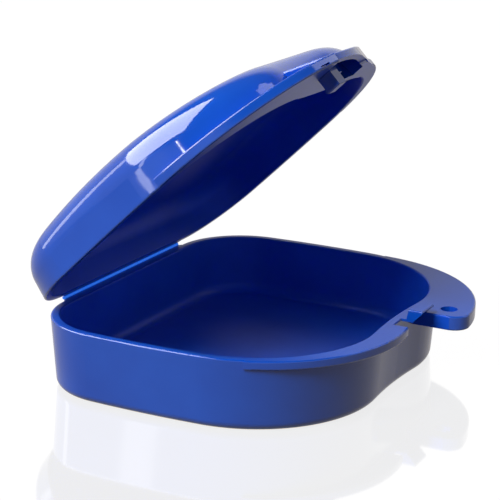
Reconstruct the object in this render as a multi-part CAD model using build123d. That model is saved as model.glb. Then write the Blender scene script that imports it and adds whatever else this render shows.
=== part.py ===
from build123d import *
import math
import os

# A pocket case for a dental retainer, moulded in one piece of polypropylene.
# A tray and a domed lid hang together on a thin living hinge at the back.
# At the front each half carries one finger tab, and a tooth and a hook keep it shut.
# Millimetres, +Z up. The origin is on the table under the middle of the tray.
# The front is towards -Y and the hinge lies along X at the back.

# Outline of the rim, seen from above
body_width = 83.2
body_front = 33.5
body_back = 33.5
back_corner_radius = 16.2
front_corner_radius = 28.0
side_bow_radius = 223.0
widest_y = 6.8
front_dent_radius = 110.0

# Tray
tray_height = 15.0
wall = 1.9
floor = 1.8
tray_draft = 1.1
tray_edge_radius = 1.8
tray_inner_radius = 2.4
rim_edge_radius = 0.35

# Lid
lid_height = 12.9
lid_roof = 1.8
lid_draft = 1.5
lid_shoulder_radius = 7.0
lid_crown = 1.7
lid_side_crown = 1.0
rim_gap = 0.3

# Finger tabs and the narrow ledges beside them
tab_radius = 34.0
tab_width = 10.7
tray_tab_thickness = 3.1
tray_tab_start = 6.0
lid_tab_thickness = 2.1
lid_tab_start = 11.4
ledge_thickness = 1.9
tray_ledge_radius = 31.0
tray_ledge_width = 3.3
tray_ledge_start = 4.7
lid_ledge_radius = 29.0
lid_ledge_width = 2.7
lid_ledge_start = 9.0
crescent_end_step = 0.3
tab_edge_radius = 0.4
tab_corner_radius = 3.5
hang_hole_radius = 1.8
hang_hole_x = 10.7
hang_hole_inset = 5.1

# Keeper tooth on the tray
keeper_width = 6.1
keeper_rise = 2.1
keeper_drop = 0.5
keeper_setback = 0.4
keeper_foot = 1.8
keeper_reach = 4.3
keeper_edge_radius = 0.3
keeper_side_gap = 0.5

# Hood, pocket and hook at the front of the lid
hood_setback = 1.0
hood_turn = 6.0
hood_end = 19.5
hood_front_height = 1.8
hood_back_height = 6.4
hood_skin = 1.5
hood_edge_radius = 0.5
strip_rise = 0.6
pocket_end = 12.2
hook_inset = 0.2
hook_clearance = 0.7
hook_width = 3.1
hook_depth = 3.3
hook_drop = 3.4
hook_toe = 0.55
hook_barb = 0.35
hook_root = 0.5
hook_edge_radius = 0.3
groove_length = 2.7
groove_width = 0.4
groove_depth = 0.6
groove_rise = 0.3
groove_start = 14.4

# Living hinge
hinge_length = 48.0
hinge_setback = 0.75
web_radius = 0.35
leaf_thickness = 1.0
leaf_clearance = 0.12
web_clearance = 0.05
leaf_corner_radius = 0.6

# How far the lid stands open at rest, in degrees
open_angle = 43.6

half_width = body_width / 2
lid_rim_z = tray_height + rim_gap
lid_top_z = lid_rim_z + lid_height
hinge_y = body_back + hinge_setback
hinge_z = tray_height + rim_gap / 2
tab_reach = body_front + tab_width
tray_ledge_reach = body_front + tray_ledge_width
lid_ledge_reach = body_front + lid_ledge_width
hang_hole_y = hang_hole_inset - tab_reach
hook_near_x = hook_inset - lid_tab_start
hook_far_x = hook_near_x + hook_width
hook_back_y = -tray_ledge_reach - hook_clearance
seam_skin = 0.1
beyond = 100.0
touching = 0.001


def polar(centre, radius, angle):
    """A point on a circle, with the angle in radians."""
    return (centre[0] + radius * math.cos(angle), centre[1] + radius * math.sin(angle))


def bearing(start, end):
    """Direction from one point to another, in radians."""
    return math.atan2(end[1] - start[1], end[0] - start[0])


def arc_through(centre, radius, start, end, z, side=1):
    """An arc of a circle between two angles, mirrored across X = 0 where side is -1."""
    points = [polar(centre, radius, a) for a in (start, (start + end) / 2, end)]
    return ThreePointArc(*[Vector(side * x, y, z) for x, y in points])


def side_tangent_centre(radius, centre_y):
    """Centre of a circle that touches the bowed right side from within."""
    run = math.sqrt((side_bow_radius - radius) ** 2 - (centre_y - widest_y) ** 2)
    return (half_width - side_bow_radius + run, centre_y)


def dent_centre():
    """Centre of the wide arc that dents the middle of the front."""
    corner = side_tangent_centre(front_corner_radius, front_corner_radius - body_front)
    drop = math.sqrt((front_corner_radius + front_dent_radius) ** 2 - corner[0] ** 2)
    return (0.0, corner[1] - drop)


def outline(inset, z):
    """The rim's outline at height z, drawn in by inset, as a face of tangent arcs."""
    bow = (half_width - side_bow_radius, widest_y)
    back = side_tangent_centre(back_corner_radius, body_back - back_corner_radius)
    front = side_tangent_centre(front_corner_radius, front_corner_radius - body_front)
    dent = dent_centre()
    to_back = bearing(bow, back)
    to_front = bearing(bow, front)
    to_dent = bearing(front, dent)
    arcs = [
        (back, back_corner_radius - inset, math.pi / 2, to_back),
        (bow, side_bow_radius - inset, to_back, to_front),
        (front, front_corner_radius - inset, to_front, to_dent),
        (dent, front_dent_radius + inset, to_dent + math.pi, math.pi / 2),
    ]
    edges = []
    for side in (1, -1):
        corner = Vector(side * back[0], body_back - inset, z)
        edges.append(Line(Vector(0, body_back - inset, z), corner))
        edges += [arc_through(*arc, z, side) for arc in arcs]
    return Face(Wire(edges))


def slab(x0, x1, y0, y1, z0, z1):
    """A box given by its two corners."""
    centre = ((x0 + x1) / 2, (y0 + y1) / 2, (z0 + z1) / 2)
    return Pos(*centre) * Box(x1 - x0, y1 - y0, z1 - z0)


def side_prism(points, x0, x1):
    """A prism along X whose section is given as points in Y and Z."""
    section = Face(Wire.make_polygon([Vector(x0, y, z) for y, z in points]))
    return extrude(section, amount=x1 - x0, dir=(1, 0, 0))


def crescent_end(centre, radius):
    """The direction in which a plate's arc is only one small step outside the rim."""
    corner = side_tangent_centre(front_corner_radius, front_corner_radius - body_front)
    grown = front_corner_radius + crescent_end_step
    gap = math.dist(centre, corner)
    along = (radius ** 2 - grown ** 2 + gap ** 2) / (2 * gap)
    return bearing(centre, corner) - math.acos(along / radius)


def crescent(radius, reach, x_start, low, high, side):
    """A plate in front of the body, from x_start round to a blunt end, with an arc for its edge."""
    centre = side_tangent_centre(radius, radius - reach)
    start = crescent_end(centre, radius)
    end = -math.acos((x_start - centre[0]) / radius)
    first = polar(centre, radius, start)
    last = polar(centre, radius, end)
    corner = Vector(side * x_start, first[1], low)
    edges = [
        arc_through(centre, radius, start, end, low, side),
        Line(Vector(side * last[0], last[1], low), corner),
        Line(corner, Vector(side * first[0], first[1], low)),
    ]
    return extrude(Face(Wire(edges)), amount=high - low, dir=(0, 0, 1))


def tray_blank():
    """The tray's outside, not yet hollow."""
    block = loft([outline(tray_draft, 0), outline(0, tray_height)], ruled=True)
    return fillet(block.edges().group_by(Axis.Z)[0], tray_edge_radius)


def tray_hollow():
    """The space inside the tray."""
    low_inset = wall + tray_draft * (1 - floor / tray_height)
    block = loft([outline(low_inset, floor), outline(wall, tray_height)], ruled=True)
    block = fillet(block.edges().group_by(Axis.Z)[0], tray_inner_radius)
    return block + extrude(outline(wall, tray_height), amount=1, dir=(0, 0, 1))


def crown_radius(half_span, drop):
    """The radius of an arc that drops by so much over half a span."""
    return (half_span ** 2 + drop ** 2) / (2 * drop)


def barrel(top, growth):
    """A solid that is crowned both ways, with its highest point at top."""
    shoulder_inset = lid_draft + lid_shoulder_radius
    across = crown_radius(half_width - shoulder_inset, lid_side_crown) + growth
    along = crown_radius(body_front - shoulder_inset, lid_crown) + growth
    half = body_width * 0.75
    rim = top - across + math.sqrt(across ** 2 - half ** 2)
    middle = top - along
    left = Vector(-half, 0, rim)
    right = Vector(half, 0, rim)
    edges = [
        ThreePointArc(left, Vector(0, 0, top), right),
        Line(right, Vector(half, 0, middle)),
        Line(Vector(half, 0, middle), Vector(-half, 0, middle)),
        Line(Vector(-half, 0, middle), left),
    ]
    return revolve(Face(Wire(edges)), Axis((0, 0, middle), (1, 0, 0)), 360)


def dome(inset, top, shoulder, low, growth):
    """A drafted block under a wide crown, with a rounded shoulder."""
    high = lid_top_z + lid_crown
    slope = lid_draft / (lid_height - lid_crown)
    low_face = outline(inset + slope * (low - lid_rim_z), low)
    high_face = outline(inset + slope * (high - lid_rim_z), high)
    block = loft([low_face, high_face], ruled=True) & barrel(top, growth)
    shoulder_edges = block.edges().filter_by(lambda edge: edge.center().Z > low + shoulder)
    shoulder_edges = shoulder_edges.filter_by(lambda edge: edge.bounding_box().size.Z < shoulder / 2)
    return fillet(shoulder_edges, shoulder)


def lid_blank():
    """The lid's outside, shut on the tray, not yet hollow."""
    return dome(0, lid_top_z, lid_shoulder_radius, lid_rim_z, 0)


def lid_hollow():
    """The space inside the shut lid."""
    return dome(wall, lid_top_z - lid_roof, lid_shoulder_radius - wall, lid_rim_z - 1, -lid_roof)


def keeper():
    """The tooth beside the cut end of the tray's tab, undercut at its front."""
    root = dent_centre()[1] + front_dent_radius + wall / 2
    face = -body_front
    top = tray_height + keeper_rise
    points = [
        (root, tray_height - keeper_drop),
        (face - keeper_foot, tray_height - keeper_drop),
        (face - keeper_reach, top),
        (face - 2 * keeper_setback, top),
        (face - keeper_setback, tray_height),
        (root, tray_height),
    ]
    tooth = side_prism(points, tray_tab_start - keeper_width, tray_tab_start)
    return fillet(tooth.edges().group_by(Axis.Z)[-1], keeper_edge_radius)


def hood_plan(skin, low):
    """The hood's plan, drawn in by skin: the tab's arc set back, then a straight run."""
    tab = side_tangent_centre(tab_radius, tab_radius - tab_reach)
    centre = (-tab[0], tab[1] + hood_setback)
    radius = tab_radius - skin
    start = -math.acos((-lid_tab_start - centre[0]) / radius)
    turn = -math.acos((hood_turn - centre[0]) / radius)
    turned = Vector(*polar(centre, radius, turn), low)
    far_y = turned.Y - (hood_end - hood_turn) / math.tan(turn)
    inner_y = -body_front / 2
    corners = [
        turned,
        Vector(hood_end, far_y, low),
        Vector(hood_end, inner_y, low),
        Vector(-lid_tab_start, inner_y, low),
        Vector(*polar(centre, radius, start), low),
    ]
    edges = [Line(first, second) for first, second in zip(corners, corners[1:])]
    return Face(Wire([arc_through(centre, radius, start, turn, low)] + edges))


def under_roof(skin, low):
    """The space under the hood's sloping roof, drawn in by skin."""
    front = -tab_reach
    back = -(body_front - wall)
    points = [
        (front, low),
        (front, lid_rim_z + hood_front_height - skin),
        (back, lid_rim_z + hood_back_height - skin),
        (0, lid_rim_z + hood_back_height - skin),
        (0, low),
    ]
    return side_prism(points, -beyond, beyond)


def hood():
    """The visor over the keeper, between the lid's tab and its ledge."""
    block = extrude(hood_plan(0, lid_rim_z), amount=lid_height, dir=(0, 0, 1))
    block = block & under_roof(0, lid_rim_z)
    front = block.edges().filter_by(lambda edge: edge.center().Z > lid_rim_z + strip_rise)
    front = front.filter_by(lambda edge: edge.center().Y < -body_front and edge.length > hood_back_height)
    return fillet(front, hood_edge_radius)


def lid_front_wall():
    """The drafted body of the lid, up to its shoulder, which closes the pocket's back."""
    low = lid_rim_z - 1
    high = lid_rim_z + hood_back_height
    slope = lid_draft / (lid_height - lid_crown)
    low_face = outline(slope * (low - lid_rim_z), low)
    high_face = outline(slope * (high - lid_rim_z), high)
    return loft([low_face, high_face], ruled=True)


def pocket():
    """The hollow in the hood that takes the keeper, and the rise under its front strip."""
    low = lid_rim_z - 1
    block = extrude(hood_plan(hood_skin, low), amount=lid_height, dir=(0, 0, 1))
    block = block & under_roof(hood_skin, low) & slab(-beyond, pocket_end, -beyond, 0, low, lid_top_z)
    keeper_side = tray_tab_start - keeper_width - keeper_side_gap
    shelf = slab(-beyond, keeper_side, hook_back_y - hook_root, 0, low, lid_top_z)
    rise = slab(
        -lid_tab_start, pocket_end, -tab_reach, hook_back_y - hook_root,
        low, lid_rim_z + strip_rise,
    )
    return block - shelf - lid_front_wall() + rise


def hook():
    """The finger that drops in front of the tray's ledge, with its barb towards the ledge."""
    toe = lid_rim_z - hook_drop
    high = lid_rim_z + hood_back_height
    front_y = hook_back_y - hook_depth
    points = [
        (front_y, high),
        (front_y, toe),
        (hook_back_y, toe),
        (hook_back_y + hook_barb, toe + hook_toe),
        (hook_back_y, toe + 2 * hook_toe),
        (hook_back_y, high),
    ]
    finger = side_prism(points, hook_near_x, hook_far_x)
    finger = fillet(finger.edges().group_by(Axis.Z)[0], hook_edge_radius)
    return finger & under_roof(hood_skin / 2, toe - 1)


def tab_groove():
    """The short slot in the edge of the lid's tab, low on its rounded side."""
    centre = side_tangent_centre(tab_radius, tab_radius - tab_reach)
    outer = Cylinder(tab_radius + groove_depth, groove_width)
    inner = Cylinder(tab_radius - groove_depth, 2 * groove_width)
    middle = lid_rim_z + groove_rise + groove_width / 2
    ring = Pos(-centre[0], centre[1], middle) * (outer - inner)
    end = -groove_start - groove_length
    return ring & slab(end, -groove_start, -beyond, 0, lid_rim_z, lid_top_z)


def leaf(low, high, hollow_radius):
    """The tongue that carries the hinge web, with hollow corners where it leaves the wall."""
    half = hinge_length / 2
    r = leaf_corner_radius
    root = body_back - wall / 2
    tip = hinge_y - leaf_clearance
    edges = [Line(Vector(-half, tip, low), Vector(half, tip, low))]
    for side in (1, -1):
        end = Vector(side * (half + r), body_back, low)
        edges.append(Line(Vector(side * half, tip, low), Vector(side * half, body_back + r, low)))
        bend = arc_through((half + r, body_back + r), r, math.pi, 1.5 * math.pi, low, side)
        edges.append(bend)
        edges.append(Line(end, Vector(side * (half + r), root, low)))
    edges.append(Line(Vector(-half - r, root, low), Vector(half + r, root, low)))
    tongue = extrude(Face(Wire(edges)), amount=high - low, dir=(0, 0, 1))
    return tongue - web(hollow_radius, hinge_length + 2 * r)


def web(radius, length):
    """A rod along the hinge line."""
    return Pos(0, hinge_y, hinge_z) * Rot(0, 90, 0) * Cylinder(radius, length)


def hang_hole():
    """The hole in the tray's tab for a cord or a ring."""
    z = tray_height - tray_tab_thickness / 2
    return Pos(hang_hole_x, hang_hole_y, z) * Cylinder(hang_hole_radius, 2 * tray_tab_thickness)


def flat_edges(solid, z):
    """The edges of a solid that lie flat at one height."""
    level = solid.edges().filter_by(lambda edge: edge.bounding_box().size.Z < 1e-4)
    return level.filter_by(lambda edge: abs(edge.center().Z - z) < 1e-4)


def soft_arcs(plate, radius):
    """A plate with the long edges of its arc rounded."""
    return fillet(plate.edges().filter_by(GeomType.CIRCLE), radius)


def soft_outer_rim(blank, z):
    """A solid block with the outer edge of its rim rounded."""
    return fillet(flat_edges(blank, z), rim_edge_radius)


def soft_inner_rim(body, z):
    """A hollow body with the inner edge of its rim rounded."""
    loop = outline(wall, z).edges()
    level = flat_edges(body, z)
    inner = level.filter_by(lambda edge: min(distance(edge, part) for part in loop) < touching)
    return fillet(inner, rim_edge_radius)


def distance(edge, other):
    """From the middle of one edge to another edge."""
    return Vertex(*edge.position_at(0.5)).distance_to(other)


def tray_moulding():
    """The whole tray side of the case, with its rim edges rounded."""
    low = tray_height - tray_tab_thickness
    tab = crescent(tab_radius, tab_reach, tray_tab_start, low, tray_height, 1)
    tab = fillet(tab.edges().filter_by(Axis.Z).sort_by(Axis.Y)[0], tab_corner_radius)
    low = tray_height - ledge_thickness
    ledge = crescent(tray_ledge_radius, tray_ledge_reach, tray_ledge_start, low, tray_height, -1)
    body = soft_outer_rim(tray_blank(), tray_height)
    body = body + soft_arcs(tab, tab_edge_radius) + soft_arcs(ledge, rim_edge_radius)
    body = soft_inner_rim(body - tray_hollow(), tray_height)
    tongue = leaf(tray_height - leaf_thickness, tray_height, web_radius)
    return body + keeper() + tongue - hang_hole()


def lid_moulding():
    """The whole lid side of the case, shut, with its rim edges rounded."""
    tab_top = lid_rim_z + lid_tab_thickness
    tab = crescent(tab_radius, tab_reach, lid_tab_start, lid_rim_z, tab_top, -1)
    ledge_top = lid_rim_z + ledge_thickness
    ledge = crescent(lid_ledge_radius, lid_ledge_reach, lid_ledge_start, lid_rim_z, ledge_top, 1)
    body = soft_outer_rim(lid_blank(), lid_rim_z)
    body = body + soft_arcs(tab, tab_edge_radius) + soft_arcs(ledge, rim_edge_radius)
    body = soft_inner_rim(body - lid_hollow(), lid_rim_z)
    tongue = leaf(lid_rim_z, lid_rim_z + leaf_thickness, web_radius + web_clearance)
    return body + hood() - lid_hollow() - pocket() - tab_groove() + hook() + tongue


def tray_seam():
    """The space a little larger than the tray, whose faces are the seams of its nodes."""
    low = -seam_skin
    high = tray_height + seam_skin
    slope = tray_draft / tray_height
    low_face = outline(slope * (tray_height - low) - seam_skin, low)
    high_face = outline(slope * (tray_height - high) - seam_skin, high)
    return loft([low_face, high_face], ruled=True)


def lid_seam():
    """The space a little larger than the shut lid."""
    radius = lid_shoulder_radius + seam_skin
    return dome(-seam_skin, lid_top_z + seam_skin, radius, lid_rim_z - seam_skin, seam_skin)


def tray_parts():
    """The tray side, split where its pieces grow out of the shell."""
    seam = tray_seam()
    body = tray_moulding()
    outside = body - seam
    top = tray_height + keeper_rise + 1
    return {
        "tray_shell": body & seam,
        "tray_finger_tab": outside & slab(tray_tab_start, beyond, -beyond, 0, 0, top),
        "catch_keeper": outside & slab(-tray_ledge_start, tray_tab_start, -beyond, 0, 0, top),
        "tray_rim_ledge": outside & slab(-beyond, -tray_ledge_start, -beyond, 0, 0, top),
        "tray_hinge_leaf": outside & slab(-beyond, beyond, 0, beyond, 0, top),
        "hinge_web": web(web_radius, hinge_length),
    }


def lid_parts():
    """The lid side, split the same way and then swung open about the hinge."""
    seam = lid_seam()
    body = lid_moulding()
    outside = body - seam
    high = outside & slab(-beyond, beyond, -beyond, beyond, lid_rim_z, lid_top_z)
    parts = {
        "lid_shell": body & seam,
        "lid_finger_tab": high & slab(-beyond, -lid_tab_start, -beyond, 0, 0, lid_top_z),
        "lid_catch_hood": high & slab(-lid_tab_start, hood_end, -beyond, 0, 0, lid_top_z),
        "lid_rim_ledge": high & slab(hood_end, beyond, -beyond, 0, 0, lid_top_z),
        "lid_hinge_leaf": high & slab(-beyond, beyond, 0, beyond, 0, lid_top_z),
        "lid_catch_hook": outside & slab(-beyond, beyond, -beyond, 0, 0, lid_rim_z),
    }
    hinge = Axis((0, hinge_y, hinge_z), (1, 0, 0))
    return {name: piece.rotate(hinge, -open_angle) for name, piece in parts.items()}


os.makedirs("parts", exist_ok=True)
for name, piece in {**tray_parts(), **lid_parts()}.items():
    export_step(piece, f"parts/{name}.step")
    print(name, len(piece.solids()), round(piece.volume, 1))
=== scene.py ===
# %% [markdown]
# # A retainer case, standing half open
#
# The case is one moulding in deep blue polypropylene. A shallow tray stands on a white table,
# and a domed lid hangs on it by a thin living hinge. The shapes come from the CAD model.
# This lesson gives them their plastic, lights them like a small studio, and sets the camera.

# %% Load the model
import math
import bpy
from mathutils import Matrix, Vector

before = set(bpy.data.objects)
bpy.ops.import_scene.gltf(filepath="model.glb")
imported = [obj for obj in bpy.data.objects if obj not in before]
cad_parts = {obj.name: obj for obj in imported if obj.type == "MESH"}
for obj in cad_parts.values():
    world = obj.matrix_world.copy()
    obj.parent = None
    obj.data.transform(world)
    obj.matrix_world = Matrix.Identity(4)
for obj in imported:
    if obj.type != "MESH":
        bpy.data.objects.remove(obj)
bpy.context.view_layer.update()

# %% [markdown]
# ## Helpers for building materials
#
# A material is a small graph of nodes. Each helper adds one node and links its inputs. They
# save the long lines that Blender needs for each node, so that a material reads like a recipe.

# %% Node helpers
def add_node(tree, kind, inputs=(), **settings):
    """One shader node. Inputs are numbers, colours or sockets of other nodes."""
    node = tree.nodes.new(kind)
    for key, value in settings.items():
        setattr(node, key, value)
    for key, value in dict(inputs).items():
        if isinstance(value, bpy.types.NodeSocket):
            tree.links.new(value, node.inputs[key])
        else:
            node.inputs[key].default_value = value
    return node


def maths(tree, operation, first, second=0.0, clamp=False):
    """One arithmetic step on two numbers."""
    node = add_node(tree, "ShaderNodeMath", {0: first, 1: second}, operation=operation)
    node.use_clamp = clamp
    return node.outputs[0]


def scaled(tree, value, factor, shift=0.0):
    """A number times a factor, plus a shift."""
    inputs = {0: value, 1: factor, 2: shift}
    return add_node(tree, "ShaderNodeMath", inputs, operation="MULTIPLY_ADD").outputs[0]


# %% Empty material
def new_material(name):
    """An empty material, its nodes and its output node."""
    material = bpy.data.materials.new(name)
    material.use_nodes = True
    material.node_tree.nodes.clear()
    output = material.node_tree.nodes.new("ShaderNodeOutputMaterial")
    return material, material.node_tree, output


def put_on(node_names, material):
    """Gives every slot of the named pieces one material."""
    for name in node_names:
        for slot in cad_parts[name].material_slots:
            slot.material = material
    print(material.name, "on", len(node_names), "pieces")


# %% [markdown]
# ## Patterns in moulded plastic
#
# Moulded plastic is never quite even. Its pigment drifts a little, so its blue is cloudy, and
# cases are rubbed in pockets and bags, which leaves fine lines. Both come from noise: cloudy as
# it is for the pigment, and stretched along one way, with only its peaks kept, for the lines.

# %% Patterns
def noise(tree, vector, scale, detail=2.0):
    """Cloudy noise between 0 and 1."""
    inputs = {"Vector": vector, "Scale": scale, "Detail": detail}
    return add_node(tree, "ShaderNodeTexNoise", inputs).outputs["Fac"]


def ramp(tree, value, low, high, low_colour, high_colour):
    """A blend from one colour to another while a number goes from low to high."""
    node = add_node(tree, "ShaderNodeValToRGB", {"Fac": value})
    ends = zip(node.color_ramp.elements, (low, high), (low_colour, high_colour))
    for element, place, colour in ends:
        element.position = place
        element.color = (*colour, 1)
    return node.outputs["Color"]


def scratches(tree, spot):
    """Fine rubbed lines: noise stretched along one way, of which only the peaks stay."""
    stretch = add_node(tree, "ShaderNodeMapping", {
        "Vector": spot, "Rotation": (0.3, 0.2, 0.7), "Scale": (1.0, 26.0, 26.0),
    })
    lines = noise(tree, stretch.outputs[0], 60.0, 3.0)
    return scaled(tree, maths(tree, "SUBTRACT", lines, 0.66, clamp=True), 6.0)


# %% [markdown]
# ## Inside, outside and rim
#
# One mould half makes the outside and is polished. The other makes the inside and is duller,
# and the flat rims, where the halves meet, are duller still. A face belongs to the inside where
# it looks at the middle of its hollow, and to a rim where it looks straight at the other half.
# So the shader compares the face's own direction with two directions that it is given.

# %% Kinds of face
def dot(tree, first, second):
    """How far two directions agree."""
    inputs = {0: first, 1: second}
    return add_node(tree, "ShaderNodeVectorMath", inputs, operation="DOT_PRODUCT").outputs["Value"]


def local_normal(tree):
    """The surface's own direction, in the object's axes."""
    normal = add_node(tree, "ShaderNodeNewGeometry").outputs["True Normal"]
    turned = add_node(tree, "ShaderNodeVectorTransform", {"Vector": normal},
                      vector_type="NORMAL", convert_from="WORLD", convert_to="OBJECT")
    return turned.outputs[0]


def inside_and_rim(tree, spot, middle, rim_way):
    """Two numbers that are 1 on the inside and on the rim, otherwise 0."""
    normal = local_normal(tree)
    arm = add_node(tree, "ShaderNodeVectorMath", {0: spot, 1: middle}, operation="SUBTRACT")
    inside = maths(tree, "LESS_THAN", dot(tree, arm.outputs[0], normal), 0.0)
    rim = maths(tree, "GREATER_THAN", dot(tree, normal, rim_way), 0.97)
    return inside, maths(tree, "MULTIPLY", rim, maths(tree, "SUBTRACT", 1.0, inside))


# %% [markdown]
# ## The blue plastic
#
# Blue polypropylene reflects as plastics do, so its index of refraction is 1.49. The colour,
# the roughness and the relief each get a short function of their own. The relief is faint: slow
# waves from shrinkage in the mould, a fine grain, and the rubbed lines.

# %% Colour, roughness and relief
def plastic_colour(tree, spot, inside):
    """Cloudy blue. The inside faces get a lighter blue, which is painted light that brightens the
    hollows.
    """
    cloud = noise(tree, spot, 60.0, 3.0)
    shell = ramp(tree, cloud, 0.30, 0.75, (0.003, 0.070, 0.500), (0.005, 0.092, 0.590))
    # The inside colour is lighter than the outside one: painted light in the hollows of tray and
    # lid.
    inside_painted_lighter = ramp(tree, cloud, 0.30, 0.75, (0.005, 0.072, 0.600), (0.008, 0.098, 0.720))
    inputs = {0: inside, 6: shell, 7: inside_painted_lighter}
    return add_node(tree, "ShaderNodeMix", inputs, data_type="RGBA").outputs[2]


polished_roughness = 0.07
inside_duller, rim_duller, lines_duller = 0.36, 0.33, 0.10


def plastic_roughness(tree, inside, rim, wear):
    """Polished outside, duller inside, on the rim and along the rubbed lines."""
    rough = scaled(tree, inside, inside_duller, polished_roughness)
    rough = maths(tree, "ADD", rough, scaled(tree, rim, rim_duller))
    return maths(tree, "ADD", rough, scaled(tree, wear, lines_duller))


def plastic_relief(tree, spot, wear):
    """Slow waves, fine grain and shallow rubbed lines."""
    swell = scaled(tree, noise(tree, spot, 45.0, 1.0), 0.8)
    grain = scaled(tree, noise(tree, spot, 2600.0), 0.004)
    height = maths(tree, "ADD", maths(tree, "ADD", swell, grain), scaled(tree, wear, -0.003))
    inputs = {"Height": height, "Strength": 0.22, "Distance": 0.0004}
    return add_node(tree, "ShaderNodeBump", inputs).outputs[0]


# %% Blue plastic
plastic_ior = 1.49
outside_gloss, inside_less_gloss = 0.55, -0.35


def plastic(name, middle, rim_way, rim_gloss):
    """Polypropylene. The rim mirrors more than the rest by rim_gloss."""
    material, tree, output = new_material(name)
    spot = add_node(tree, "ShaderNodeTexCoord").outputs["Object"]
    inside, rim = inside_and_rim(tree, spot, middle, rim_way)
    wear = scratches(tree, spot)
    gloss = scaled(tree, inside, inside_less_gloss, outside_gloss)
    gloss = maths(tree, "ADD", gloss, scaled(tree, rim, rim_gloss))
    skin = add_node(tree, "ShaderNodeBsdfPrincipled", {
        "Base Color": plastic_colour(tree, spot, inside),
        "Roughness": plastic_roughness(tree, inside, rim, wear),
        "IOR": plastic_ior, "Specular IOR Level": gloss,
        "Normal": plastic_relief(tree, spot, wear),
    })
    tree.links.new(skin.outputs[0], output.inputs[0])
    return material


# %% [markdown]
# ## Where the hollows are
#
# The tray's hollow is straight above the origin. The lid leans back about the hinge, so the
# middle of its hollow is found from the hinge: forward along the leaning rim, and a little up
# from it. The lid's rim looks back down at the tray.

# %% Plastic on the two halves
hinge_spot = Vector((0.0, 0.03425, 0.01515))
lean = math.radians(43.6)
up_from_rim = Vector((0.0, math.sin(lean), math.cos(lean)))
to_lid_front = Vector((0.0, -math.cos(lean), math.sin(lean)))
half_lid_depth, above_rim = 0.034, 0.005
lid_middle = hinge_spot + half_lid_depth * to_lid_front + above_rim * up_from_rim
tray_middle = (0.0, 0.0, 0.010)
print("middle of the lid's hollow in mm:", [round(1000 * v, 1) for v in lid_middle])

tray_plastic = plastic("blue_plastic_tray", tray_middle, (0, 0, 1), 0.0)
lid_plastic = plastic("blue_plastic_lid", tuple(lid_middle), tuple(-up_from_rim), 0.45)
put_on([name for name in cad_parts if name.startswith("lid")], lid_plastic)
put_on([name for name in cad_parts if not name.startswith("lid")], tray_plastic)

# %% [markdown]
# ## The thin web of the hinge
#
# The web is so thin that light comes through it, so it shows as a bright blue line. Real light
# through plastic is slow to render, so the web gets a painted glow instead, standing in for that
# light.

# %% Hinge web
web_blue = (0.01, 0.15, 0.75, 1)


def web_with_painted_glow():
    """Blue plastic with a painted glow that stands in for light coming through the thin web."""
    material, tree, output = new_material("thin_blue_web_painted_glow")
    spot = add_node(tree, "ShaderNodeTexCoord").outputs["Object"]
    skin = add_node(tree, "ShaderNodeBsdfPrincipled", {
        "Base Color": web_blue, "Roughness": scaled(tree, noise(tree, spot, 300.0), 0.2, 0.2),
        # The emission is painted light: a glow in place of the light that comes through the web.
        "IOR": plastic_ior, "Emission Color": web_blue, "Emission Strength": 0.7,
    })
    tree.links.new(skin.outputs[0], output.inputs[0])
    return material


put_on(["hinge_web"], web_with_painted_glow())

# %% [markdown]
# ## The table
#
# A white gloss table. The camera sees it as white as the backdrop, with a faint mirror image
# of the tray and a faint shadow. More light would wash out the blue, so the white comes from a
# glow that only some rays see: a light path node tells the camera's rays from the rest.

# %% Which ray is looking
def seen_by(tree, *kinds):
    """1 for a ray of one of the named kinds, otherwise 0."""
    path = add_node(tree, "ShaderNodeLightPath")
    total = path.outputs[f"Is {kinds[0]} Ray"]
    for kind in kinds[1:]:
        total = maths(tree, "MAXIMUM", total, path.outputs[f"Is {kind} Ray"])
    return total


def either(tree, choice, first, second):
    """One shader where choice is 0, the other where it is 1."""
    inputs = {0: choice, 1: first.outputs[0], 2: second.outputs[0]}
    return add_node(tree, "ShaderNodeMixShader", inputs)


# %% Table
white = (1, 1, 1, 1)
table_glow, mirrored_glow = 1.04, 0.60
table_gloss_share = 0.22


def table_material():
    """White gloss, nearly as bright as the backdrop."""
    material, tree, output = new_material("white_table")
    matt = add_node(tree, "ShaderNodeBsdfDiffuse", {"Color": (0.05, 0.05, 0.05, 1)})
    bright = add_node(tree, "ShaderNodeEmission", {"Color": white, "Strength": table_glow})
    pale = add_node(tree, "ShaderNodeEmission", {
        "Color": (1.0, 0.96, 0.96, 1), "Strength": mirrored_glow,
    })
    glow = either(tree, seen_by(tree, "Camera", "Transmission"), pale, bright)
    lit = add_node(tree, "ShaderNodeAddShader", {0: glow.outputs[0], 1: matt.outputs[0]})
    shown = either(tree, seen_by(tree, "Camera", "Glossy", "Transmission"), matt, lit)
    mirror = add_node(tree, "ShaderNodeBsdfGlossy", {"Color": white, "Roughness": 0.06})
    mirror_share = scaled(tree, seen_by(tree, "Camera"), table_gloss_share)
    tree.links.new(either(tree, mirror_share, shown, mirror).outputs[0], output.inputs[0])
    return material


bpy.ops.mesh.primitive_plane_add(size=12.0, location=(0, 0, 0))
table = bpy.context.object
table.name = "white_table"
table.data.materials.append(table_material())
print("table:", round(table.dimensions.x, 1), "m wide")

# %% [markdown]
# ## The studio's walls
#
# Behind the case all is white. In the plastic's reflections the walls are pale near the table
# and dark above, as in a studio with its lamps off. What lights the case from all round is dim.

# %% Studio
pale_wall, dark_ceiling, dim_air = 0.85, 0.12, 0.18


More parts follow.
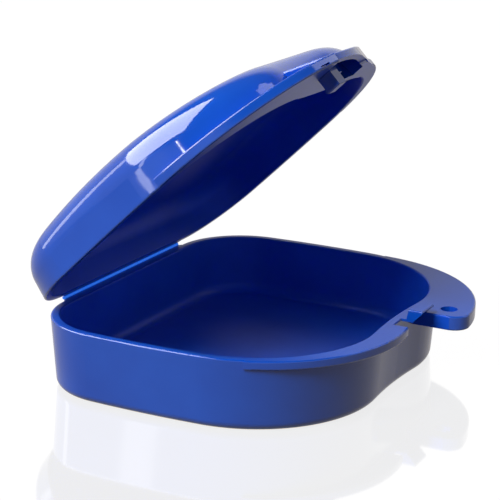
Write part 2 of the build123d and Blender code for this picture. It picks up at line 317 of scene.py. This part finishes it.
def studio_air():
    """White for the camera, pale walls under a dark ceiling for reflections, dim for the rest."""
    world = bpy.data.worlds.new("studio_air")
    bpy.context.scene.world = world
    world.use_nodes = True
    tree = world.node_tree
    tree.nodes.clear()
    way = add_node(tree, "ShaderNodeTexCoord").outputs["Generated"]
    height = add_node(tree, "ShaderNodeSeparateXYZ", {0: way}).outputs["Z"]
    wall = add_node(tree, "ShaderNodeMapRange", {
        "Value": height, "From Min": 0.42, "From Max": 0.62,
        "To Min": pale_wall, "To Max": dark_ceiling,
    }).outputs["Result"]
    dim = add_node(tree, "ShaderNodeBackground", {
        "Color": (0.93, 0.95, 1, 1), "Strength": dim_air,
    })
    walls = add_node(tree, "ShaderNodeBackground", {
        "Color": (1.0, 0.98, 0.98, 1), "Strength": wall,
    })
    backdrop = add_node(tree, "ShaderNodeBackground", {"Color": white, "Strength": 1.0})
    around = either(tree, seen_by(tree, "Glossy"), dim, walls)
    behind = either(tree, seen_by(tree, "Camera", "Transmission"), around, backdrop)
    output = add_node(tree, "ShaderNodeOutputWorld")
    tree.links.new(behind.outputs[0], output.inputs[0])
    return world


print("world:", studio_air().name)

# %% [markdown]
# ## The lamps
#
# The long pale patch on the lid is the mirror image of one large softbox, to the left and
# behind. Two narrow panels stand under it: one makes the thin bright line along the lid's
# shoulder, the other the patch's foot. A smaller softbox at the front right shows on the side
# of the lid's tab, and a small lamp makes the glint beside it. These five are only mirrored.
# The light itself comes from a key light at a plain level, from the same side, so that the
# patch can be bright while the blue stays as it was mixed. A lamp's place is given by its
# direction and height angle from the case, in degrees.

# %% A flat lamp
case_middle = Vector((0.0, 0.0, 0.045))
lamp_distance = 0.9


def softbox(name, azimuth, elevation, span, rise, brightness, roll=0.0):
    """A flat lamp that faces the case. Its width and height are angles, as seen from the case."""
    turn, lift = math.radians(azimuth), math.radians(elevation)
    level = math.cos(lift)
    way = Vector((math.cos(turn) * level, math.sin(turn) * level, math.sin(lift)))
    lamp = bpy.data.lights.new(name, "AREA")
    lamp.shape = "RECTANGLE"
    lamp.size = 2 * lamp_distance * math.tan(math.radians(span) / 2)
    lamp.size_y = 2 * lamp_distance * math.tan(math.radians(rise) / 2)
    lamp.energy = brightness * math.pi * lamp.size * lamp.size_y
    thing = bpy.data.objects.new(name, lamp)
    thing.location = case_middle + lamp_distance * way
    facing = (-way).to_track_quat("-Z", "Y").to_matrix()
    thing.rotation_euler = (facing @ Matrix.Rotation(math.radians(roll), 3, "Z")).to_euler()
    bpy.context.scene.collection.objects.link(thing)
    return thing


# %% Lamps
key_light = softbox("key_light", 163, 44, 30, 30, 12.5)
key_light.visible_glossy = False
mirrored_lamps = [
    softbox("large_softbox", 119, 47, 60, 52, 10.0, roll=-12),
    softbox("shoulder_panel", 101, 10, 9, 24, 4.0),
    softbox("foot_panel", 152, 12, 5, 22, 5.0, roll=12),
    softbox("front_softbox", -38, 46, 24, 24, 2.2),
    softbox("small_lamp", -178, 35, 3, 1, 60.0),
]
for lamp in mirrored_lamps:
    lamp.visible_diffuse = False
print("lamps:", 1 + len(mirrored_lamps))

# %% [markdown]
# ## The camera
#
# A long lens, low and to the left of the case's front, as in the photograph. Its place and its
# focal length were worked out from the outline of the rim and the line of the hinge.

# %% Camera
picture_width = 500
focal_pixels = 1699.5
sensor_width = 36.0
camera_turn, camera_lift, camera_roll = -62.711, 16.163, 0.939
camera_distance = 0.368009


def set_camera():
    """The photograph's viewpoint."""
    turn, lift, roll = (math.radians(a) for a in (camera_turn, camera_lift, camera_roll))
    level = math.cos(lift)
    back = Vector((math.sin(turn) * level, -math.cos(turn) * level, math.sin(lift)))
    flat = Vector((math.cos(turn), math.sin(turn), 0.0))
    upright = back.cross(flat)
    right = math.cos(roll) * flat + math.sin(roll) * upright
    up = math.cos(roll) * upright - math.sin(roll) * flat
    place = -0.002691 * right + 0.023916 * up + camera_distance * back + Vector((0, -0.0009, 0))
    lens = bpy.data.cameras.new("camera")
    lens.sensor_width = sensor_width
    lens.lens = sensor_width * focal_pixels / picture_width
    lens.clip_start = 0.01
    thing = bpy.data.objects.new("camera", lens)
    thing.matrix_world = Matrix.Translation(place) @ Matrix((right, up, back)).transposed().to_4x4()
    bpy.context.scene.collection.objects.link(thing)
    bpy.context.scene.camera = thing
    return lens


print("lens:", round(set_camera().lens, 1), "mm")
bpy.context.scene.view_settings.view_transform = "Standard"
